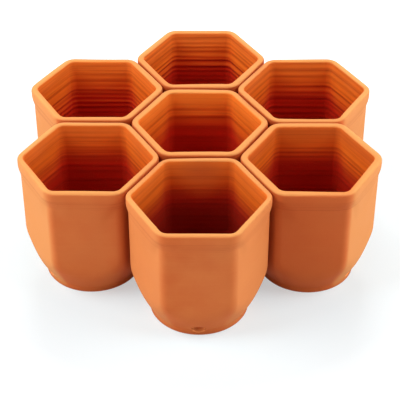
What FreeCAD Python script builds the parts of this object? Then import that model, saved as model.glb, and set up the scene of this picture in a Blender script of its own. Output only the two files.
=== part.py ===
import FreeCAD, Part
import math
import os

# Seven identical terracotta herb pots that stand together as a honeycomb.
# Driving dimensions, in millimetres and degrees. +Z is up and the floor is z = 0.

# Hexagonal body with flat sides, its corners rounded outside and inside
body_across_flats = 122.6
corner_radius = 11.0
inner_corner_radius = 9.0
pot_height = 136.5
wall = 4.4
floor_thickness = 8.0

# Rolled rim: a taper out from the side, an upright band and a crest rounded in steps
rim_roll = 2.8
rim_height = 8.0
rim_taper = 7.5
rim_round = 3.0
rim_round_steps = 2
mouth_chamfer = 1.2

# Round foot drawn in to a neck, and the cone above it where the hexagon melts into the foot
foot_radius = 50.4
foot_height = 7.2
neck_inset = 0.4
shoulder_lean = 28.2

# What is turned on the wheel is worked in this many sides outside, and inside down to the floor
turned_side_count = 48
hollow_side_count = 24

# Drain hole, bored level through the foot under one side
drain_diameter = 13.0
drain_height = 9.8
drain_run_in = 8.0

# Honeycomb: the gap left between the rims of neighbouring pots
rim_gap = 1.6

# How far cutting and trimming forms run past what they cut
overrun = 4.0

# Outer pots of the honeycomb and the way each lies from the centre pot
outer_pots = {
    "front_pot": 270.0,
    "front_right_pot": 330.0,
    "back_right_pot": 30.0,
    "back_pot": 90.0,
    "back_left_pot": 150.0,
    "front_left_pot": 210.0,
}

# Hexagon, cone and honeycomb worked out from the sizes above
sides = 6
side_step = 360.0 / sides
half_step = side_step / 2
drain_direction = 270.0
corner_share = math.cos(math.radians(half_step))
corner_reach = (body_across_flats / 2 - corner_radius) / corner_share + corner_radius
neck_radius = foot_radius - neck_inset
shoulder_slope = math.tan(math.radians(shoulder_lean))
shoulder_inset = wall / math.cos(math.radians(shoulder_lean))
pitch = body_across_flats + 2 * rim_roll + rim_gap

origin = FreeCAD.Vector(0, 0, 0)
up = FreeCAD.Vector(0, 0, 1)


def polar(distance, degrees, z=0.0):
    """Point at a distance from the axis, in a direction, at a height."""
    angle = math.radians(degrees)
    return FreeCAD.Vector(distance * math.cos(angle), distance * math.sin(angle), z)


def outline(growth, radius, z):
    """Hexagon at a height, grown outwards from the body's sides, its corners rounded by a radius."""
    distance = (body_across_flats / 2 + growth - radius) / corner_share
    corners = []
    for side in range(sides):
        corner = drain_direction + half_step + side * side_step
        centre = polar(distance, corner, z)
        turns = (corner - half_step, corner, corner + half_step)
        corners.append([centre + polar(radius, turn) for turn in turns])
    edges = []
    for here, following in zip(corners, corners[1:] + corners[:1]):
        edges.append(Part.Arc(*here).toShape())
        edges.append(Part.LineSegment(here[2], following[0]).toShape())
    return Part.Wire(edges)


def polygon(count, reach, z):
    """Corners of a regular polygon at a height, one of its flats facing the drain hole."""
    step = 360.0 / count
    return [polar(reach, drain_direction + step / 2 + corner * step, z) for corner in range(count)]


def flat_walled(rings):
    """Solid with flat faces between rings of corners stacked one above the other."""
    faces = [Part.Face(Part.makePolygon(ring + ring[:1])) for ring in (rings[0], rings[-1])]
    for low, high in zip(rings, rings[1:]):
        for here in range(len(low)):
            following = (here + 1) % len(low)
            around = [low[here], low[following], high[following], high[here], low[here]]
            faces.append(Part.Face(Part.makePolygon(around)))
    solid = Part.Solid(Part.Shell(faces))
    if solid.Volume < 0:
        solid.reverse()
    return solid


def cone_height(radius):
    """Height at which the turned cone has a radius."""
    return foot_height + (radius - neck_radius) / shoulder_slope


def turned_foot():
    """The foot, its neck and the cone above, carried up past the rim."""
    past = corner_reach + rim_roll + overrun
    profile = [
        (foot_radius, 0),
        (neck_radius, foot_height),
        (past, cone_height(past)),
        (past, pot_height + overrun),
    ]
    return flat_walled([polygon(turned_side_count, radius, z) for radius, z in profile])


def outside():
    """Outer form of a pot: hexagonal sides and rolled rim, trimmed by the turned foot."""
    band_bottom = pot_height - rim_height
    levels = [
        (0, -overrun),
        (0, band_bottom - rim_taper),
        (rim_roll, band_bottom),
    ]
    for step in range(rim_round_steps + 1):
        turn = math.radians(90 * step / rim_round_steps)
        growth = rim_roll - rim_round * (1 - math.cos(turn))
        levels.append((growth, pot_height - rim_round * (1 - math.sin(turn))))
    sections = [outline(growth, corner_radius + growth, z) for growth, z in levels]
    return Part.makeLoft(sections, True, True).common(turned_foot())


def inside():
    """Hollow of a pot: a wall in from the sides, chamfered at the mouth, narrowing to the floor."""
    past = corner_reach + overrun
    floor_reach = neck_radius + (floor_thickness - foot_height) * shoulder_slope - shoulder_inset
    levels = [
        (0, 0),
        (0, pot_height - mouth_chamfer),
        (mouth_chamfer, pot_height),
        (mouth_chamfer, pot_height + overrun),
    ]
    sections = [outline(wider - wall, inner_corner_radius + wider, z) for wider, z in levels]
    taper = flat_walled(
        [
            polygon(hollow_side_count, floor_reach, floor_thickness),
            polygon(hollow_side_count, past, cone_height(past + shoulder_inset)),
            polygon(hollow_side_count, past, pot_height + 2 * overrun),
        ]
    )
    return Part.makeLoft(sections, True, True).common(taper)


def drain():
    """Bore from outside the foot to a short run-in on the floor."""
    end = foot_radius - wall - drain_run_in
    start = polar(end, drain_direction, drain_height)
    return Part.makeCylinder(drain_diameter / 2, corner_reach - end, start, polar(1, drain_direction))


def placed(shape, direction, distance):
    """Copy of a pot with its drain hole turned to a direction, moved that way from the centre."""
    copy = shape.copy()
    copy.rotate(origin, up, direction - drain_direction)
    copy.translate(polar(distance, direction))
    return copy


pot = outside().cut(inside()).cut(drain())
os.makedirs("parts", exist_ok=True)
placed(pot, drain_direction, 0).exportStep("parts/centre_pot.step")
for name, direction in outer_pots.items():
    placed(pot, direction, pitch).exportStep("parts/" + name + ".step")

print("corner reach", round(corner_reach, 2), "mm, pitch", round(pitch, 2), "mm")
print("solids", len(pot.Solids), "valid", pot.isValid(), "volume", round(pot.Volume / 1000, 1), "cm3")
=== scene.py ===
import math

import bpy
import numpy as np
from mathutils import Matrix, Vector


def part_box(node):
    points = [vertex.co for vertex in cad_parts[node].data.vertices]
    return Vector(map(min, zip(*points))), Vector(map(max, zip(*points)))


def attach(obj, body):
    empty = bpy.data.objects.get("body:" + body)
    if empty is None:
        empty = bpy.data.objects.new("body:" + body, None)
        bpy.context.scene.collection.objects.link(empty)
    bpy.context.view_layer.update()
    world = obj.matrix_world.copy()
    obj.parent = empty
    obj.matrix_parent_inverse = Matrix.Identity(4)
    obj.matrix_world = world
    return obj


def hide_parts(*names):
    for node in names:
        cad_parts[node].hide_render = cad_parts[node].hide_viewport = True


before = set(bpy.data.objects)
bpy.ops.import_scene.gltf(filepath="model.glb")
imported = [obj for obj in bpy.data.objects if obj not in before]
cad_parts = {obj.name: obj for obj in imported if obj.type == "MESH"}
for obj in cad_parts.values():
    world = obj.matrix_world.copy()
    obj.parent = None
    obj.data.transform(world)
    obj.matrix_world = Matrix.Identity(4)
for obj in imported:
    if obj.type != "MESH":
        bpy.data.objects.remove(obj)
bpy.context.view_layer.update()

mm = 0.001
sideCount = 6
sixth = math.pi / 3           # of a turn, from one side of a pot to the next
scene = bpy.context.scene
scene.view_settings.view_transform = "Standard"

# The form that all the pots share, in millimetres
potForm = {
    "halfFlats": 61.3,        # from the axis to a side
    "cornerRadius": 11.0,
    "innerCorner": 9.0,
    "cornerTurn": (14, 28),   # turns from a flat's middle between which its corner takes over, degrees
    "height": 136.5,
    "wall": 4.4,
    "floor": 8.0,
    "floorCove": 7.0,         # rounding between the floor and the wall inside
    "coveDraw": 1.5,          # how far the cove draws in past its quarter round
    "floorWave": 0.25,        # height of the turned rings on the floor ...
    "floorWaves": 24,         # ... and the turn of their wave from the middle to the edge, radians
    "footRadius": 50.5,
    "footFlare": 0.08,        # the foot widens downwards by this much per millimetre
    "footHeight": 7.2,
    "footMelt": 1.2,          # how softly the foot runs into the cone
    "footEdge": 1.6,          # rounding where the foot meets the ground
    "neckRadius": 50.5,       # of the cone where it leaves the foot
    "lean": 28.8,             # the turned cone's lean from upright, degrees
    "melt": 6.0,              # how softly the sides run into the cone ...
    "innerMelt": 7.0,         # ... and inside
    "rimRoll": 2.8,
    "rimStart": 116.0,        # the rim swells from here at the corners ...
    "rimSoft": 26.0,          # ... and from this much lower on the flats ...
    "rimFull": 129.5,         # ... to here
    "rimRound": 2.6,          # the corners round this many times as fast as the rim swells
    "rimShoulder": 2.5,       # rounding of the rim's outer edge
    "mouthEdge": 1.8,         # rounding of the rim's inner edge
    "flatSteps": 14,          # columns of the grid along a flat ...
    "cornerSteps": 22,        # ... and round a corner
    "wallRows": ((14, 0.7), (62, 1.5), (113, 3.0), (133.5, 0.55)),   # up to a height, rows this far apart
    "innerRow": 0.6,          # spacing of the rows inside
    "roundRows": (5, 11, 7, 8),   # over the foot's edge, the rim's shoulder, the mouth's edge and the cove
    "floorRows": 9,
    "baseRows": 8,
}

# How each pot differs: height of the throwing rings inside (mm), their mean spacing (mm), the share of
# that height that the weakest has, how strong the painted shade under them and the painted highlight on
# them are, how much painted shade lies just inside the mouth (painted light where under 0) and far down,
# how much thinner its wall is at the mouth (mm), how far its front is pressed in at the mouth (mm), how
# much painted light pales its open sides, how much painted shade darkens its front and back, and a seed
# for the rest
potHands = {
    "centre_pot": {"rings": 0.8, "spacing": 11.5, "least": 0.2, "shade": 0.5, "mouth": -0.35, "deepShade": 0.1,
                   "thin": -0.3, "pressed": 2.6, "paler": 1.0, "darker": 0.0, "seed": 11},
    "front_pot": {"rings": 0.3, "spacing": 5.4, "least": 0.1, "shade": 0.34, "mouth": -0.15, "deepShade": 0.75,
                  "thin": 1.2, "pressed": 0.0, "paler": 0.55, "darker": 0.1, "seed": 22},
    "front_right_pot": {"rings": 0.35, "spacing": 6.2, "least": 0.1, "shade": 0.42, "mouth": 0.22,
                        "deepShade": 0.3, "thin": -0.7, "pressed": 0.0, "paler": 1.0, "darker": 0.8,
                        "seed": 33},
    "back_right_pot": {"rings": 1.0, "spacing": 7.0, "least": 0.4, "shade": 0.85, "mouth": 0.15,
                       "deepShade": 0.15, "thin": 0.4, "pressed": -1.0, "paler": 1.0, "darker": 0.3,
                       "seed": 44},
    "back_pot": {"rings": 1.1, "spacing": 6.2, "least": 0.55, "shade": 1.0, "mouth": 0.12, "deepShade": 0.15,
                 "thin": -0.5, "pressed": 1.9, "paler": 1.0, "darker": 0.0, "seed": 55},
    "back_left_pot": {"rings": 1.0, "spacing": 6.6, "least": 0.4, "shade": 0.85, "mouth": 0.05,
                      "deepShade": 0.05, "thin": -0.2, "pressed": 1.4, "paler": 1.0, "darker": 0.1, "seed": 66},
    "front_left_pot": {"rings": 0.35, "spacing": 6.2, "least": 0.1, "shade": 0.42, "mouth": 0.1,
                       "deepShade": 0.25, "thin": 0.6, "pressed": 0.0, "paler": 1.0, "darker": 0.2, "seed": 77},
}
seedSteps = {"fineRings": 500, "wall": 1000, "tintedLines": 2000}   # added to a pot's seed
waveStart = 6.28              # a wave starts anywhere in about a full turn

# Unevenness of handwork, in millimetres; a pair is the least and the most, or where a change starts and
# ends
handForm = {
    "orders": (1, 2, 3),      # waves round a pot
    "wave": (0.05, 0.22),
    "waveLean": 0.01,         # turn of a wave with height, radians per millimetre at most
    "bow": (-0.35, 0.45),     # of a side
    "bowFull": 0.7,           # how full the bow is over the height: under 1 is fuller
    "waveRise": (14, 60),     # the outside is true at the foot and uneven from here up
    "thinRise": (70, 125),    # heights over which a wall thins towards the mouth
    "pressTurn": (22, 40),    # a pressed front ends between these turns from its middle, degrees
    "pressRise": (45, 115),
    "tip": 0.35,              # unevenness of the rim's height
    "tipRise": 100,
    "tipThird": 0.6,          # share of its wave with three crests
    "tipDrop": 0.8,           # how far the rim lies lower on the whole, as a share
}


def softMin(a, b, k):
    # the smaller of two, with the step between them rounded over a band k wide
    h = np.maximum(k - np.abs(a - b), 0.0) / k
    return np.minimum(a, b) - h * h * k / 4


def smooth(low, high, x):
    # 0 on low's side, 1 on high's side, an S-curve between; low may be the larger
    t = np.clip((x - low) / (high - low), 0.0, 1.0)
    return t * t * (3 - 2 * t)


def anyStart(rng):
    # a random start for a wave
    return rng.uniform(0, waveStart)


def fromFlat(turn):
    # a direction's turn from the middle of its side
    return (turn - math.pi / 2 + sixth / 2) % sixth - sixth / 2


def hexRadius(turn, apothem, corner):
    # distance from the axis to a hexagon with rounded corners, in a direction: the side's plane
    # divided by the cosine of the turn, or the corner's circle past the end of the flat
    local = np.abs(fromFlat(turn))
    far = (apothem - corner) / math.cos(sixth / 2)
    off = sixth / 2 - local
    arc = far * np.cos(off) + np.sqrt(np.maximum(corner ** 2 - (far * np.sin(off)) ** 2, 0.0))
    flat = apothem / np.cos(local)
    onFlat = np.abs(apothem * np.tan(local)) <= (apothem - corner) * math.tan(sixth / 2)
    return np.where(onFlat, flat, arc)


def flatness(turn):
    # 1 along a flat, 0 at a corner, an S-curve between
    low, high = potForm["cornerTurn"]
    return 1 - smooth(math.radians(low), math.radians(high), np.abs(fromFlat(turn)))


def pressedFront(z, turn, hand):
    # how far the front side was pressed in while the clay was soft: all along that flat, more towards
    # the mouth
    away = np.abs((turn + math.pi / 2 + math.pi) % (2 * math.pi) - math.pi)
    low, high = handForm["pressTurn"]
    along = 1 - smooth(math.radians(low), math.radians(high), away)
    return hand["pressed"] * along * smooth(*handForm["pressRise"], z)


def columnTurns():
    # directions round the pot: even steps along each flat, finer steps round each corner
    form = potForm
    half = math.atan((form["halfFlats"] - form["cornerRadius"]) * math.tan(sixth / 2) / form["halfFlats"])
    flat = np.arctan(np.linspace(-1, 1, form["flatSteps"] + 1)[:-1] * math.tan(half))
    corner = np.linspace(half, sixth - half, form["cornerSteps"] + 1)[:-1]
    side = np.concatenate([flat, corner])
    return (np.arange(sideCount)[:, None] * sixth + side[None, :]).ravel() + math.pi / 2


def turnedRadius(z):
    # radius of the form turned on the wheel at a height: the foot, then a leaning cone
    form = potForm
    foot = form["footRadius"] - form["footFlare"] * z
    cone = form["neckRadius"] + (z - form["footHeight"]) * math.tan(math.radians(form["lean"]))
    return -softMin(-foot, -cone, form["footMelt"])


def rimCurve():
    # the section of the rim over the top, as growth from the side and height: a quarter round outside,
    # a short flat, a small round into the mouth
    form = potForm
    big, small = form["rimShoulder"], form["mouthEdge"]
    _, outRows, inRows, _ = form["roundRows"]
    quarter = np.linspace(0, math.pi / 2, outRows)
    outN = form["rimRoll"] - big * (1 - np.cos(quarter))
    outZ = form["height"] - big * (1 - np.sin(quarter))
    quarter = np.linspace(math.pi / 2, 0, inRows)
    inN = -form["wall"] + small * (1 - np.cos(quarter))
    inZ = form["height"] - small * (1 - np.sin(quarter))
    return np.concatenate([outN, inN]), np.concatenate([outZ, inZ])


# Throwing rings inside; heights in millimetres
ringForm = {
    "start": 18.0,
    "stop": 4.0,              # below the top
    "stray": (0.75, 1.3),     # least and most spacing, as a share of the pot's own
    "tilt": (0.9, 0.5),       # most tilt, once and twice round the pot
    "calm": 0.65,             # share by which rings are flatter at the mouth ...
    "calmRise": (92, 130),    # ... and the heights over which they get so
    "mean": 0.75,             # of a ring's strength round the pot
    "swing": 0.3,             # how far it comes and goes
    "broad": (0.75, 1.25),    # least and most breadth
    "above": 0.46,            # reach of a hump above its crest, as a share of the spacing ...
    "below": 0.30,            # ... and below it
    "sink": 0.35,             # mean of the rings, taken off to keep the wall's thickness
    "foot": (14, 24),         # rings start over these heights ...
    "top": (129, 135),        # ... and end over these
    "fine": 0.04,             # height of the finer marks
    "fineWaves": (0.47, 2.6),   # their slow and quick waves, radians per millimetre
    "fineSway": 0.6,
}


def ringField(z, turn, hand):
    # throwing rings inside, from about 0 to 1: ridges at uneven heights, each a hump that falls off
    # faster below its crest than above it, tilts a little and comes and goes round the pot
    form = ringForm
    rng = np.random.default_rng(hand["seed"])
    field = np.zeros(np.broadcast(z, turn).shape)
    once, twice = form["tilt"]
    at = form["start"]
    while at < potForm["height"] - form["stop"]:
        step = hand["spacing"] * rng.uniform(*form["stray"])
        tilt = rng.uniform(-once, once) * np.sin(turn + anyStart(rng))
        tilt = tilt + rng.uniform(-twice, twice) * np.sin(2 * turn + anyStart(rng))
        calmer = 1 - form["calm"] * smooth(*form["calmRise"], np.float64(at))
        strength = rng.uniform(hand["least"], 1.0) * calmer
        swing = form["swing"] * np.sin(turn + anyStart(rng)) * np.sin(2 * turn + anyStart(rng))
        strength = strength * (form["mean"] + swing)
        away = (z - at - tilt) / step
        wide = rng.uniform(*form["broad"])
        above = np.exp(-(away / (form["above"] * wide)) ** 2)
        below = np.exp(-(away / (form["below"] * wide)) ** 2)
        field += strength * np.where(away > 0, above, below)
        at += step
    return field


def fineRings(z, turn, hand):
    # the finer marks of fingers and sponge between the ridges: two beating waves up the wall
    rng = np.random.default_rng(hand["seed"] + seedSteps["fineRings"])
    slow, quick = ringForm["fineWaves"]
    beat = np.sin(z * slow + anyStart(rng))
    return np.sin(z * quick + ringForm["fineSway"] * np.sin(turn * 2) + anyStart(rng)) * beat


# Turned lines under the rim, in millimetres
lineForm = {
    "heights": (126.2, 124.0, 121.6, 119.9, 117.4),
    "depth": (0.04, 0.11),
    "mean": 0.6,              # of a line's depth round the pot
    "swing": 0.4,             # how far it comes and goes
    "sway": 0.3,
    "breadth": 0.6,
}


def rimLines(z, turn, rng):
    # fine turned grooves just under the rim: narrow dips that come and go round the pot
    form = lineForm
    depth = np.zeros(np.broadcast(z, turn).shape)
    for at in form["heights"]:
        swing = form["swing"] * np.sin(turn + anyStart(rng)) * np.sin(2 * turn + anyStart(rng))
        fade = form["mean"] + swing
        away = (z - at - form["sway"] * np.sin(turn + at)) / form["breadth"]
        depth += rng.uniform(*form["depth"]) * fade * np.exp(-away ** 2)
    return depth


def handWobble(turn, z, rng):
    # the unevenness of handwork: slow waves round the pot that lean with height, and sides that bow a
    # little
    form = handForm
    wave = np.zeros(np.broadcast(turn, z).shape)
    for order in form["orders"]:
        size, start = rng.uniform(*form["wave"]), anyStart(rng)
        lean = rng.uniform(-form["waveLean"], form["waveLean"])
        wave += size * np.cos(order * turn + start + z * lean)
    side = np.floor((turn - math.pi / 2 + sixth / 2) / sixth).astype(int) % sideCount
    bow = rng.uniform(*form["bow"], sideCount)[side]
    rise = np.sin(np.clip(z / potForm["height"], 0, 1) * math.pi) ** form["bowFull"]
    return wave + bow * np.cos(3 * fromFlat(turn)) * rise


def outerWall(hand, turn, rng):
    # radius and height from the ground over the rim to the mouth: the hexagon grown by the rim's swell,
    # or the turned form where that is smaller
    form = potForm
    edge = form["footEdge"]
    quarter = np.linspace(0, math.pi / 2, form["roundRows"][0])[:, None]
    footZ = edge * (1 - np.cos(quarter))
    footIn = edge * (1 - np.sin(quarter))
    spans = form["wallRows"]
    starts = [edge + spans[0][1]] + [top for top, _ in spans[:-1]]
    wallZ = [np.arange(low, top, step) for low, (top, step) in zip(starts, spans)]
    wallZ = np.concatenate(wallZ)[:, None]
    rimN, rimZ = rimCurve()
    z = np.concatenate([footZ, wallZ, rimZ[:, None]])
    inset = np.concatenate([footIn, np.zeros_like(wallZ), np.zeros((len(rimZ), 1))])
    rimLow = form["rimStart"] - form["rimSoft"] * flatness(turn)
    swell = form["rimRoll"] * smooth(rimLow, form["rimFull"], wallZ)
    columns = np.ones_like(turn)
    growth = np.concatenate([np.zeros_like(footZ) * columns, swell, rimN[:, None] * columns])
    across = np.clip((growth + form["wall"]) / form["wall"], 0, 1)    # 0 at the inner face, 1 outside
    corner = form["innerCorner"] + (form["cornerRadius"] - form["innerCorner"]) * across
    corner = corner + form["rimRound"] * np.maximum(growth, 0)
    wobble = handWobble(turn, z, rng) * smooth(*handForm["waveRise"], z)
    thin = hand["thin"] * (1 - across)
    side = hexRadius(turn, form["halfFlats"] + growth + thin, corner) + wobble
    side = side - rimLines(z, turn, rng) - pressedFront(z, turn, hand)
    return softMin(side, turnedRadius(z) - inset, form["melt"]), z


def innerWall(hand, turn):
    # radius and height from the mouth down to the cove: the hexagon a wall further in, or the turned form
    # where that is smaller, less the throwing rings
    form = potForm
    row = form["innerRow"]
    top, bottom = form["height"] - form["mouthEdge"] - row, form["floor"] + form["floorCove"]
    z = np.arange(top, bottom, -row)[:, None]
    rings = hand["rings"] * (ringField(z, turn, hand) - ringForm["sink"])
    rings = rings + ringForm["fine"] * fineRings(z, turn, hand)
    rings = rings * smooth(*ringForm["foot"], z) * (1 - smooth(*ringForm["top"], z))
    thin = hand["thin"] * smooth(*handForm["thinRise"], z)
    side = hexRadius(turn, form["halfFlats"] - form["wall"] + thin, form["innerCorner"])
    side = side + handWobble(turn, z, np.random.default_rng(hand["seed"] + seedSteps["wall"]))
    side = side - pressedFront(z, turn, hand)
    cone = turnedRadius(z) - form["wall"] / math.cos(math.radians(form["lean"]))
    return softMin(side, cone, form["innerMelt"]) - rings, z


def potSurface(hand):
    # radius and height over rows (round the section, from under the foot to the floor inside) and columns
    form = potForm
    rng = np.random.default_rng(hand["seed"] + seedSteps["wall"])
    turn = columnTurns()[None, :]
    outR, outZ = outerWall(hand, turn, rng)
    inR, inZ = innerWall(hand, turn)
    quarter = np.linspace(0, math.pi / 2, form["roundRows"][3])[1:, None]
    coveZ = form["floor"] + form["floorCove"] * (1 - np.sin(quarter))
    coveR = inR[-1:] - form["floorCove"] * (1 - np.cos(quarter)) - form["coveDraw"] * np.sin(quarter)
    floorShare = np.linspace(1, 0, form["floorRows"])[1:-1, None]
    floorR = coveR[-1:] * floorShare
    floorZ = form["floor"] + form["floorWave"] * np.sin(floorShare * form["floorWaves"])
    baseShare = np.linspace(0, 1, form["baseRows"])[1:-1, None]
    baseR = outR[:1] * baseShare
    radius = np.concatenate([baseR, outR, inR, coveR, floorR])
    level = np.concatenate([np.zeros_like(baseShare), outZ, inZ, coveZ, floorZ])
    level = np.broadcast_to(level, radius.shape).copy()
    tip = smooth(handForm["tipRise"], form["height"], level) * handForm["tip"]
    wave = np.cos(2 * turn + anyStart(rng))
    wave = wave + handForm["tipThird"] * np.cos(3 * turn + anyStart(rng))
    level += tip * wave - tip * handForm["tipDrop"]
    return radius, level, turn


def closedGrid(rows, columns):
    # the numbers of a grid's points, those of the next column round, and the quads between the rows
    here = np.arange(rows * columns).reshape(rows, columns)
    beside = np.roll(here, -1, axis=1)
    quads = np.stack([here[:-1], beside[:-1], beside[1:], here[1:]], axis=-1).reshape(-1, 4)
    return here, beside, quads


def gridMesh(name, radius, level, turn, centre):
    # rows by columns joined to quads, closed round the columns, with a fan to a pole at each end
    rows, columns = radius.shape
    x = radius * np.cos(turn) * mm + centre[0]
    y = radius * np.sin(turn) * mm + centre[1]
    points = np.stack([x, y, level * mm], axis=-1).reshape(-1, 3)
    poles = np.array([[centre[0], centre[1], level[end].mean() * mm] for end in (0, -1)])
    points = np.concatenate([points, poles])
    here, beside, quads = closedGrid(rows, columns)
    bottom = np.stack([np.full(columns, rows * columns), beside[0], here[0]], axis=-1)
    top = np.stack([np.full(columns, rows * columns + 1), here[-1], beside[-1]], axis=-1)
    mesh = bpy.data.meshes.new(name)
    corners = np.concatenate([quads.ravel(), bottom.ravel(), top.ravel()])
    counts = np.concatenate([np.full(len(quads), 4), np.full(len(bottom) + len(top), 3)])
    mesh.vertices.add(len(points))
    mesh.vertices.foreach_set("co", points.ravel())
    mesh.loops.add(len(corners))
    mesh.loops.foreach_set("vertex_index", corners.astype(np.int32))
    mesh.polygons.add(len(counts))
    mesh.polygons.foreach_set("loop_start", (np.cumsum(counts) - counts).astype(np.int32))
    mesh.polygons.foreach_set("loop_total", counts.astype(np.int32))
    mesh.update(calc_edges=True)
    mesh.validate()
    return mesh


# The drain hole through the foot, in millimetres
drainForm = {
    "radius": 6.2,
    "squash": 0.74,           # height as a share of the width
    "height": 9.8,
    "start": 30.0,            # from the pot's axis ...
    "end": 70.0,              # ... to outside it
    "lip": 48.0,
    "lipRows": (-1.5, -0.5, 0.6, 1.8, 4.0),   # rows of the flare, from the lip
    "flare": 1.1,
    "steps": 48,
    "spin": 0.05,             # keeps the cutter's corners off the pot's grid lines, radians
}


def drainCutter(centre, direction):
    # a bore a little flattened, as soft clay settles, opening in a small flare where it leaves the foot:
    # ellipses carried out along the drain's direction
    form = drainForm
    flareRows = [form["lip"] + row for row in form["lipRows"]]
    along = np.array([form["start"], *flareRows, form["end"]])[:, None]
    wide = form["radius"] + form["flare"] * smooth(flareRows[0], flareRows[-1], along)
    spin = np.linspace(0, 2 * math.pi, form["steps"], endpoint=False)[None, :] + form["spin"]
    wide = np.broadcast_to(wide, (len(along), form["steps"]))
    side = wide * np.cos(spin)
    lift = form["height"] + form["squash"] * wide * np.sin(spin)
    c, s = math.cos(direction), math.sin(direction)
    x = (along * c - side * s) * mm + centre[0]
    y = (along * s + side * c) * mm + centre[1]
    points = np.stack([x, y, lift * mm], axis=-1).reshape(-1, 3)
    here, _, quads = closedGrid(len(along), form["steps"])
    faces = quads.tolist() + [here[0][::-1].tolist(), here[-1].tolist()]
    mesh = bpy.data.meshes.new("drainCutter")
    mesh.from_pydata(points.tolist(), [], faces)
    return bpy.data.objects.new("drainCutter", mesh)


# Where each tint of the clay lies: lengths in millimetres, and a pair is where a change starts and ends
maskForm = {
    "innerDepth": (1.8, 3.8),     # in from the outer face: the inside's tint, which is painted bounce light
    "innerLow": (3.0, 5.0),       # up from the ground
    "innerFrom": 4,               # below the top: it grows from here ...
    "innerFull": 104,             # ... to here ...
    "innerLeast": 0.7,            # ... from this share to 1
    "deepFull": 84,               # the painted shade far down grows from the same height to here ...
    "deepKept": 14,               # ... or this much lower on the side walls ...
    "deepSines": (0.70, 0.90),    # ... which face left or right: the sine of their turn is under these
    "rimBand": (1.9, 0.3),        # below the top: the rim's paler tint, a painted highlight
    # painted shade: the foot darker near the ground, over these heights
    "footBand": (0, 10),
    "boreMargin": 0.3,            # round the drain's lip
    "boreFrom": (43.5, 46),       # painted light in the bore, from the axis ...
    "boreTo": (47.6, 48.9),       # ... to here, and this much further on the lower lip ...
    "lipOut": 3.0,
    "lipLow": (-1.0, -3.5),       # ... which is this far below the bore's middle
    "ringUp": 0.26,               # a ring's painted shade compares the wall this share of the spacing above ...
    "ringDown": 0.5,              # ... with this share of that below
    "ringFine": 0.06,
    "ridgeLost": 0.6,             # share of a ridge's painted highlight that is lost far down ...
    "ridgeFall": (112, 72),       # ... over these heights
    "ringTop": (130, 135),        # painted shades and highlights of the rings end over these heights
    "mouthRise": (112, 131),      # painted shade just inside the mouth, or painted light where a pot's value is under 0
    "pitFall": (120, 70),         # and painted shade far down
    "lineTint": 3.0,              # painted shade in the lines under the rim, per millimetre of depth
    "openSines": (0.81, 0.905),   # sides that face left or right, by the same sine, get painted light ...
    "outward": (-0.12, 0.12),     # ... where they face away from the other pots, by the cosine from the drain; fronts, backs and faces towards other pots get painted shade
}


def addMask(mesh, name, values):
    # a number at each point of the mesh
    layer = mesh.attributes.new(name, "FLOAT", "POINT")
    layer.data.foreach_set("value", values.astype(np.float32))


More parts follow.
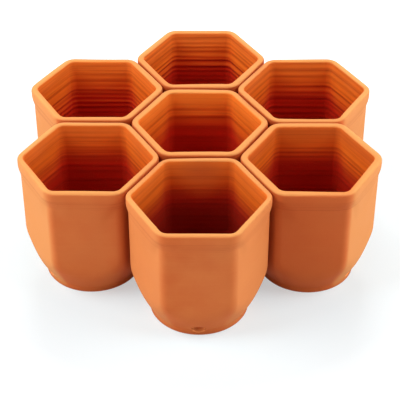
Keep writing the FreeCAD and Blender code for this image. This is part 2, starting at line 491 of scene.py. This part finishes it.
def paintMasks(mesh, centre, direction, outer, hand):
    # colour attribute: red inside the pot, less near the mouth, for its painted bounce light; green on the
    # rim, for its painted highlight; blue at the foot, for its painted shade; alpha with depth, from
    # further down on the sides, for the painted shade far down; a second attribute is over 0, for painted
    # shade, under each throwing ring, where a ridge stands just above, far down, in the lines under the
    # rim and, where its pot says so, just inside the mouth, and is under 0, for a painted highlight, on a
    # ridge's upper side; a third is 1 in the drain's bore and on its lower lip, for painted light there; a
    # fourth is over 0 on the open sides, for painted light, 0 or less on the front and back, for painted
    # shade, and -1 where another pot stands close, for painted shade between the pots
    form, mask = potForm, maskForm
    top = form["height"]
    co = np.empty(len(mesh.vertices) * 3)
    mesh.vertices.foreach_get("co", co)
    co = co.reshape(-1, 3) / mm
    x, y, z = co[:, 0] - centre[0] / mm, co[:, 1] - centre[1] / mm, co[:, 2]
    turn = np.arctan2(y, x)
    facing = np.abs(np.sin(turn))       # 1 at the front and back, 0 to the left and right
    wallR = hexRadius(turn, form["halfFlats"], form["cornerRadius"]) - pressedFront(z, turn, hand)
    wallR = np.minimum(wallR, turnedRadius(z))
    along = x * math.cos(direction) + y * math.sin(direction)
    aside = y * math.cos(direction) - x * math.sin(direction)
    lift = (z - drainForm["height"]) / drainForm["squash"]
    bore = np.hypot(aside, lift) < drainForm["radius"] + drainForm["flare"] + mask["boreMargin"]
    bore = bore * smooth(*mask["boreFrom"], along)
    inside = smooth(*mask["innerDepth"], wallR - np.hypot(x, y)) * smooth(*mask["innerLow"], z)
    inside = inside * (1 - bore)
    high, low = mask["rimBand"]
    rim = smooth(top - high, top - low, z)
    foot = (1 - smooth(*mask["footBand"], z)) * (1 - inside) * (1 - bore)
    # the inside's tint is painted bounce light, weaker near the mouth; the deep tint is painted shade far
    # down
    under = top - mask["innerFrom"]
    least = mask["innerLeast"]
    deeper = least + (1 - least) * smooth(under, mask["innerFull"], z)
    kept = mask["deepKept"] * (1 - smooth(*mask["deepSines"], facing))
    deep = inside * smooth(under, mask["deepFull"], z + kept)
    layer = mesh.attributes.new("clay", "FLOAT_COLOR", "POINT")
    colour = np.stack([inside * deeper, rim, foot, deep], axis=-1)
    layer.data.foreach_set("color", colour.astype(np.float32).ravel())

    # painted shade under each ring where a ridge stands just above, and a painted highlight on a ridge's
    # upper side
    up = mask["ringUp"] * hand["spacing"]
    shade = ringField(z + up, turn, hand) - ringField(z - mask["ringDown"] * up, turn, hand)
    shade = shade + mask["ringFine"] * fineRings(z, turn, hand)
    lost = 1 - mask["ridgeLost"] * smooth(*mask["ridgeFall"], z)
    shade = np.where(shade < 0, shade * lost, shade)
    shade = hand["shade"] * shade * smooth(*ringForm["foot"], z) * (1 - smooth(*mask["ringTop"], z))
    # painted shade just inside the mouth (painted light where under 0), and painted shade far down
    shade = shade + hand["mouth"] * smooth(*mask["mouthRise"], z)
    shade = shade + hand["deepShade"] * smooth(*mask["pitFall"], z)
    # painted shade in the turned lines under the rim, outside
    lines = rimLines(z, turn, np.random.default_rng(hand["seed"] + seedSteps["tintedLines"]))
    lines = mask["lineTint"] * lines * (1 - inside)
    addMask(mesh, "paintedShadeAndLight", np.clip(shade * inside + lines, -1, 1))

    # painted light in the drain's bore and on its lower lip
    lip = along - mask["lipOut"] * smooth(*mask["lipLow"], lift)
    addMask(mesh, "bore", bore * (1 - smooth(*mask["boreTo"], lip)))

    # painted light on the open sides, painted shade on the fronts and backs and, darkest, on faces that
    # stand close to another pot
    sides = 1 - smooth(*mask["openSines"], facing)
    outward = smooth(*mask["outward"], np.cos(turn - direction)) if outer else 0.0
    fired = hand["paler"] * sides - hand["darker"] * (1 - sides)
    addMask(mesh, "faceLightAndShade", (fired * outward - (1 - outward)) * (1 - inside))


# Unglazed terracotta: colours are linear, scales are per metre. A tint comes in between two values of its
# noise or attribute ("edges"), up to a share ("shares")
clayFinish = {
    "pale": (0.68, 0.208, 0.058, 1),
    "body": (0.64, 0.160, 0.038, 1),
    "deep": (0.60, 0.130, 0.027, 1),
    # painted light: the open sides paler and yellower; painted shade: the fronts, backs and faces between
    # the pots redder and darker
    "paintedSideLight": (0.66, 0.255, 0.074, 1),
    "paintedFaceShade": (0.50, 0.085, 0.015, 1),
    # painted light and shade inside: a brighter, more saturated clay, like light bounced between the
    # walls, and darker far down
    "inner": (0.90, 0.195, 0.008, 1),
    "bottom": (0.52, 0.014, 0.001, 1),
    # painted shade in dark red, which also darkens random streaks inside, and a painted highlight on the
    # rings
    "shadeAndStreaks": (0.27, 0.008, 0.001, 1),
    "ridge": (0.92, 0.235, 0.016, 1),
    # painted highlight on the rim's crest
    "rim": (0.74, 0.340, 0.095, 1),
    # painted shade at the foot, near the ground
    "foot": (0.42, 0.085, 0.018, 1),
    # painted light in the drain's bore and on its lower lip
    "bore": (0.97, 0.34, 0.10, 1),
    "mottle": 38.0,
    "blotch": 0.33,                  # as a share of the mottle's scale
    "grain": 1400.0,
    "lines": (4.0, 4.0, 520.0),
    "streaks": (3.0, 3.0, 230.0),
    "detail": {"lines": 3.0, "streaks": 4.0, "mottle": 5.0, "blotch": 2.0, "grain": 2.0},
    "plainRough": 0.55,              # how much the finer waves of a noise count ...
    "streakRough": 0.65,             # ... and of the streaks
    "edges": {"mottle": (0.38, 0.66), "blotch": (0.45, 0.75), "lines": (0.50, 0.72),
              "streaks": (0.50, 0.70), "grain": (0.62, 0.75), "paintedSideLight": (0.0, 1.0),
              "paintedFaceShade": (0.0, -1.0), "shadeAndStreaks": (0.0, 0.8), "ridge": (0.0, -0.8)},
    "shares": {"blotch": 0.5, "lines": 0.15, "streaks": 0.45, "grain": 0.25, "paintedSideLight": 0.95,
               "paintedFaceShade": 0.8, "inner": 0.9, "ridge": 0.6, "rim": 0.65, "foot": 0.8},
    "specular": 0.2,
    "matt": (0.2, 0.8),              # mottle over which roughness grows ...
    "mattShare": 0.16,               # ... by this much, on top of about 0.67 from the grain
    "grainMatt": (-6.2, 3.8),
    "relief": {"lines": 0.2, "grain": 0.2, "mottle": 0.4},
    "reliefStrength": 0.35,
    "reliefDepth": 0.0006,           # metres
}


def clayMaterial():
    # the body's mottled clay, then one tint over another where its noise or attribute says
    finish = clayFinish
    detail, edges, shares = finish["detail"], finish["edges"], finish["shares"]
    material = bpy.data.materials.new("terracotta")
    material.use_nodes = True
    nodes, links = material.node_tree.nodes, material.node_tree.links
    shader = nodes["Principled BSDF"]
    shader.inputs["Specular IOR Level"].default_value = finish["specular"]
    place = nodes.new("ShaderNodeTexCoord").outputs["Object"]

    def noise(scale, waves, vector, rough=finish["plainRough"]):
        # cloudy noise from 0 to 1
        node = nodes.new("ShaderNodeTexNoise")
        node.inputs["Scale"].default_value = scale
        node.inputs["Detail"].default_value = waves
        node.inputs["Roughness"].default_value = rough
        links.new(vector, node.inputs["Vector"])
        return node.outputs["Fac"]

    def ramp(value, low, high):
        # 0 at low, 1 at high, straight between
        node = nodes.new("ShaderNodeMapRange")
        node.inputs["From Min"].default_value = low
        node.inputs["From Max"].default_value = high
        links.new(value, node.inputs["Value"])
        return node.outputs["Result"]

    def times(value, other):
        # a value times a number or another value
        node = nodes.new("ShaderNodeMath")
        node.operation = "MULTIPLY"
        links.new(value, node.inputs[0])
        if isinstance(other, float):
            node.inputs[1].default_value = other
        else:
            links.new(other, node.inputs[1])
        return node.outputs[0]

    def plus(value, other):
        # the sum of two values
        node = nodes.new("ShaderNodeMath")
        node.operation = "ADD"
        links.new(value, node.inputs[0])
        links.new(other, node.inputs[1])
        return node.outputs[0]

    def tint(share, base, colour):
        # a colour laid over a base by a share
        node = nodes.new("ShaderNodeMix")
        node.data_type = "RGBA"
        links.new(share, node.inputs["Factor"])
        if isinstance(base, tuple):
            node.inputs["A"].default_value = base
        else:
            links.new(base, node.inputs["A"])
        node.inputs["B"].default_value = colour
        return node.outputs["Result"]

    def drawn(scale):
        # the place on the part, scaled unevenly
        node = nodes.new("ShaderNodeMapping")
        node.inputs["Scale"].default_value = scale
        links.new(place, node.inputs["Vector"])
        return node.outputs["Vector"]

    def attribute(name):
        # what an attribute of the mesh holds
        node = nodes.new("ShaderNodeAttribute")
        node.attribute_name = name
        return node.outputs

    # lines are drawn out level, as the wheel leaves them
    lines = noise(1.0, detail["lines"], drawn(finish["lines"]))
    # streaks are broader, where fingers and sponge went
    streaks = noise(1.0, detail["streaks"], drawn(finish["streaks"]), finish["streakRough"])
    mottle = noise(finish["mottle"], detail["mottle"], place)
    blotch = noise(finish["mottle"] * finish["blotch"], detail["blotch"], place)
    grain = noise(finish["grain"], detail["grain"], place)

    masks = attribute("clay")
    part = nodes.new("ShaderNodeSeparateColor")
    links.new(masks["Color"], part.inputs["Color"])
    inside, onRim, onFoot = (part.outputs[name] for name in ("Red", "Green", "Blue"))
    faceLightAndShade, rings, bore = (attribute(name)["Fac"] for name in ("faceLightAndShade", "paintedShadeAndLight", "bore"))

    def reaching(name, value):
        # where a tint's noise or attribute says, up to its share
        return times(ramp(value, *edges[name]), shares[name])

    colour = tint(ramp(mottle, *edges["mottle"]), finish["deep"], finish["body"])
    colour = tint(reaching("blotch", blotch), colour, finish["pale"])
    colour = tint(reaching("lines", lines), colour, finish["pale"])
    # painted light on the open sides, painted shade on the fronts, backs and faces between the pots
    colour = tint(reaching("paintedSideLight", faceLightAndShade), colour, finish["paintedSideLight"])
    colour = tint(reaching("paintedFaceShade", faceLightAndShade), colour, finish["paintedFaceShade"])
    # painted bounce light inside, and painted shade far down
    colour = tint(times(inside, shares["inner"]), colour, finish["inner"])
    colour = tint(masks["Alpha"], colour, finish["bottom"])
    # painted shade under the rings, just inside the mouth, far down and in the lines under the rim;
    # painted highlight on the rings' upper sides
    colour = tint(ramp(rings, *edges["shadeAndStreaks"]), colour, finish["shadeAndStreaks"])
    colour = tint(reaching("ridge", rings), colour, finish["ridge"])
    colour = tint(times(reaching("streaks", streaks), inside), colour, finish["shadeAndStreaks"])
    # painted highlight on the rim
    colour = tint(times(onRim, shares["rim"]), colour, finish["rim"])
    # painted shade at the foot
    colour = tint(times(onFoot, shares["foot"]), colour, finish["foot"])
    # painted light in the drain's bore
    colour = tint(bore, colour, finish["bore"])
    colour = tint(reaching("grain", grain), colour, finish["pale"])
    links.new(colour, shader.inputs["Base Color"])
    matt = times(ramp(mottle, *finish["matt"]), finish["mattShare"])
    links.new(plus(matt, ramp(grain, *finish["grainMatt"])), shader.inputs["Roughness"])

    relief = finish["relief"]
    fine = plus(times(grain, relief["grain"]), times(mottle, relief["mottle"]))
    bump = nodes.new("ShaderNodeBump")
    bump.inputs["Strength"].default_value = finish["reliefStrength"]
    bump.inputs["Distance"].default_value = finish["reliefDepth"]
    links.new(plus(times(lines, relief["lines"]), fine), bump.inputs["Height"])
    links.new(bump.outputs["Normal"], shader.inputs["Normal"])
    print("terracotta", len(nodes), "nodes")
    return material


middleReach = 0.01            # the pot in the middle has its axis within this of the origin, m
sharpTurn = 38                # edges that turn more than this stay sharp, degrees


def potPlace(node):
    # a pot's axis, the way its drain faces (outwards, or to the front on the pot in the middle), and
    # whether it is one of the outer pots
    low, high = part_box(node)
    centre = ((low.x + high.x) / 2, (low.y + high.y) / 2)
    if math.hypot(*centre) > middleReach:
        return centre, math.atan2(centre[1], centre[0]), True
    return centre, -math.pi / 2, False


def makePot(node, hand, material):
    # the pot's surface less the drain's bore, with its masks
    centre, direction, outer = potPlace(node)
    radius, level, turn = potSurface(hand)
    raw = bpy.data.objects.new(node + "_raw", gridMesh(node + "_raw", radius, level, turn, centre))
    scene.collection.objects.link(raw)
    cutter = drainCutter(centre, direction)
    scene.collection.objects.link(cutter)
    cut = raw.modifiers.new("drain", "BOOLEAN")
    cut.operation = "DIFFERENCE"
    cut.solver = "EXACT"
    cut.object = cutter
    bpy.context.view_layer.update()
    mesh = bpy.data.meshes.new_from_object(raw.evaluated_get(bpy.context.evaluated_depsgraph_get()))
    for spare in (raw, cutter):
        bpy.data.objects.remove(spare)
    mesh.name = node + "_clay"
    mesh.polygons.foreach_set("use_smooth", np.ones(len(mesh.polygons), dtype=bool))
    mesh.set_sharp_from_angle(angle=math.radians(sharpTurn))
    paintMasks(mesh, centre, direction, outer, hand)
    mesh.materials.clear()
    mesh.materials.append(material)
    pot = bpy.data.objects.new(node + "_clay", mesh)
    scene.collection.objects.link(pot)
    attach(pot, node)
    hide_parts(node)
    print("pot", node, "faces", len(mesh.polygons))


terracotta = clayMaterial()
for node, hand in potHands.items():
    makePot(node, hand, terracotta)


# Floor: white, a little brighter to the camera so that it reads as white, and more so far off, with the
# pots' shadow kept and a painted grey shade round the pots, where it is brightened less; cooler near the
# pots, where their warm light falls on it. Lengths in metres
floorForm = {
    "half": 4.0,
    "colour": (0.5, 0.5, 0.5, 1),             # for light that bounces on
    "near": (0.41, 0.515, 0.55, 1),           # as seen, near the pots ...
    "far": (0.43, 0.44, 0.445, 1),            # ... and away from them
    "edges": (0.17, 0.31),                    # from the middle, between near and far
    "lift": (0.47, 1.0),                      # brightness added for the camera, near and far off; less near, for a painted grey shade round the pots
    "liftEdges": (0.25, 0.62),
    "roughness": 0.8,
    "specular": 0.1,
}


def seenRays(nodes, links):
    # 1 for what the camera sees, straight or by gloss or glass, 0 for light that bounces on
    ray = nodes.new("ShaderNodeLightPath")
    seen = ray.outputs["Is Camera Ray"]
    for kind in ("Is Glossy Ray", "Is Transmission Ray"):
        either = nodes.new("ShaderNodeMath")
        either.operation = "MAXIMUM"
        links.new(seen, either.inputs[0])
        links.new(ray.outputs[kind], either.inputs[1])
        seen = either.outputs[0]
    return seen


def makeFloor():
    # a flat square; its colour and lift are ramps on the distance from the middle
    form = floorForm
    half = form["half"]
    corners = [(-half, -half, 0), (half, -half, 0), (half, half, 0), (-half, half, 0)]
    mesh = bpy.data.meshes.new("floor")
    mesh.from_pydata(corners, [], [(0, 1, 2, 3)])
    floor = bpy.data.objects.new("floor", mesh)
    scene.collection.objects.link(floor)
    material = bpy.data.materials.new("floor")
    material.use_nodes = True
    nodes, links = material.node_tree.nodes, material.node_tree.links
    shader = nodes["Principled BSDF"]
    shader.inputs["Roughness"].default_value = form["roughness"]
    shader.inputs["Specular IOR Level"].default_value = form["specular"]
    shader.inputs["Emission Color"].default_value = (1, 1, 1, 1)
    seen = seenRays(nodes, links)
    away = nodes.new("ShaderNodeVectorMath")
    away.operation = "LENGTH"
    links.new(nodes.new("ShaderNodeTexCoord").outputs["Object"], away.inputs[0])
    lift = nodes.new("ShaderNodeMapRange")
    lift.inputs["From Min"].default_value, lift.inputs["From Max"].default_value = form["liftEdges"]
    lift.inputs["To Min"].default_value, lift.inputs["To Max"].default_value = form["lift"]
    links.new(away.outputs["Value"], lift.inputs["Value"])
    share = nodes.new("ShaderNodeMath")
    share.operation = "MULTIPLY"
    links.new(seen, share.inputs[0])
    links.new(lift.outputs["Result"], share.inputs[1])
    links.new(share.outputs[0], shader.inputs["Emission Strength"])
    spread = nodes.new("ShaderNodeMapRange")
    spread.inputs["From Min"].default_value, spread.inputs["From Max"].default_value = form["edges"]
    links.new(away.outputs["Value"], spread.inputs["Value"])
    paper = nodes.new("ShaderNodeMix")
    paper.data_type = "RGBA"
    paper.inputs["A"].default_value = form["near"]
    paper.inputs["B"].default_value = form["far"]
    links.new(spread.outputs["Result"], paper.inputs["Factor"])
    shown = nodes.new("ShaderNodeMix")
    shown.data_type = "RGBA"
    shown.inputs["A"].default_value = form["colour"]
    links.new(paper.outputs["Result"], shown.inputs["B"])
    links.new(seen, shown.inputs["Factor"])
    links.new(shown.outputs["Result"], shader.inputs["Base Color"])
    mesh.materials.append(material)
    print("floor", 2 * half, "m square")


makeFloor()

# Lamps: place, size (m) and power (W); all of them aim at one point
lampForms = {
    "leftFrontPanel": {"at": (-1.5, -1.2, 0.26), "size": (1.2, 0.4), "power": 8.3},
    "leftPanel": {"at": (-1.9, 0.2, 0.26), "size": (1.2, 0.4), "power": 8.6},
    "rightFrontPanel": {"at": (1.5, -1.2, 0.26), "size": (1.2, 0.4), "power": 4.8},
    "rightPanel": {"at": (1.9, 0.2, 0.26), "size": (1.2, 0.4), "power": 16.4},
    "leftHigh": {"at": (-1.3, -0.3, 1.4), "size": (1.2, 0.9), "power": 28.5},
    "rightHigh": {"at": (1.3, -0.3, 1.4), "size": (1.2, 0.9), "power": 21},
    "back": {"at": (0, 1.5, 1.3), "size": (1.2, 0.9), "power": 28},
    "front": {"at": (0, -2.0, 0.7), "size": (1.2, 0.9), "power": 6.7},
}
lampAim = (0, 0, 0.08)
roomLight = 0.02              # of the white room on the pots; the camera sees it at 1


def makeLamps():
    # an area lamp for each form, and a white room that lights the pots only a little
    for name, form in lampForms.items():
        data = bpy.data.lights.new(name, "AREA")
        data.shape = "RECTANGLE"
        data.size, data.size_y = form["size"]
        data.energy = form["power"]
        lamp = bpy.data.objects.new(name, data)
        lamp.location = form["at"]
        lamp.rotation_euler = (Vector(lampAim) - Vector(form["at"])).to_track_quat("-Z", "Y").to_euler()
        scene.collection.objects.link(lamp)
    world = bpy.data.worlds.new("room")
    world.use_nodes = True
    nodes, links = world.node_tree.nodes, world.node_tree.links
    nodes["Background"].inputs["Color"].default_value = (1, 1, 1, 1)
    level = nodes.new("ShaderNodeMapRange")
    level.inputs["To Min"].default_value = roomLight
    links.new(seenRays(nodes, links), level.inputs["Value"])
    links.new(level.outputs["Result"], nodes["Background"].inputs["Strength"])
    scene.world = world
    print("lamps", len(lampForms))


makeLamps()

# Camera: the photograph's view of the set; lens and sensor in millimetres, elevation in degrees, yaw and
# roll in radians, the rest in metres
cameraForm = {
    "lens": 116.62,
    "sensor": 36,
    "clip": 0.05,
    "elevation": 36.89,
    "yaw": -0.0089,
    "roll": 0.0021,
    "aim": (0.0011, -0.1350, 0.1350),
    "distance": 1.2485,
}


def makeCamera():
    # back from the aim by the distance, raised by the elevation, swung by the yaw and turned by the roll
    form = cameraForm
    data = bpy.data.cameras.new("camera")
    data.lens = form["lens"]
    data.sensor_width = form["sensor"]
    data.clip_start = form["clip"]
    camera = bpy.data.objects.new("camera", data)
    tilt = math.radians(form["elevation"])
    back = Vector((0, -math.cos(tilt), math.sin(tilt)))
    swing = Matrix.Rotation(-form["yaw"], 3, "Z")
    camera.location = Vector(form["aim"]) + swing @ back * form["distance"]
    facing = swing @ Matrix.Rotation(math.pi / 2 - tilt, 3, "X") @ Matrix.Rotation(-form["roll"], 3, "Z")
    camera.rotation_euler = facing.to_euler()
    scene.collection.objects.link(camera)
    scene.camera = camera
    print("camera", form["lens"], "mm lens")


makeCamera()
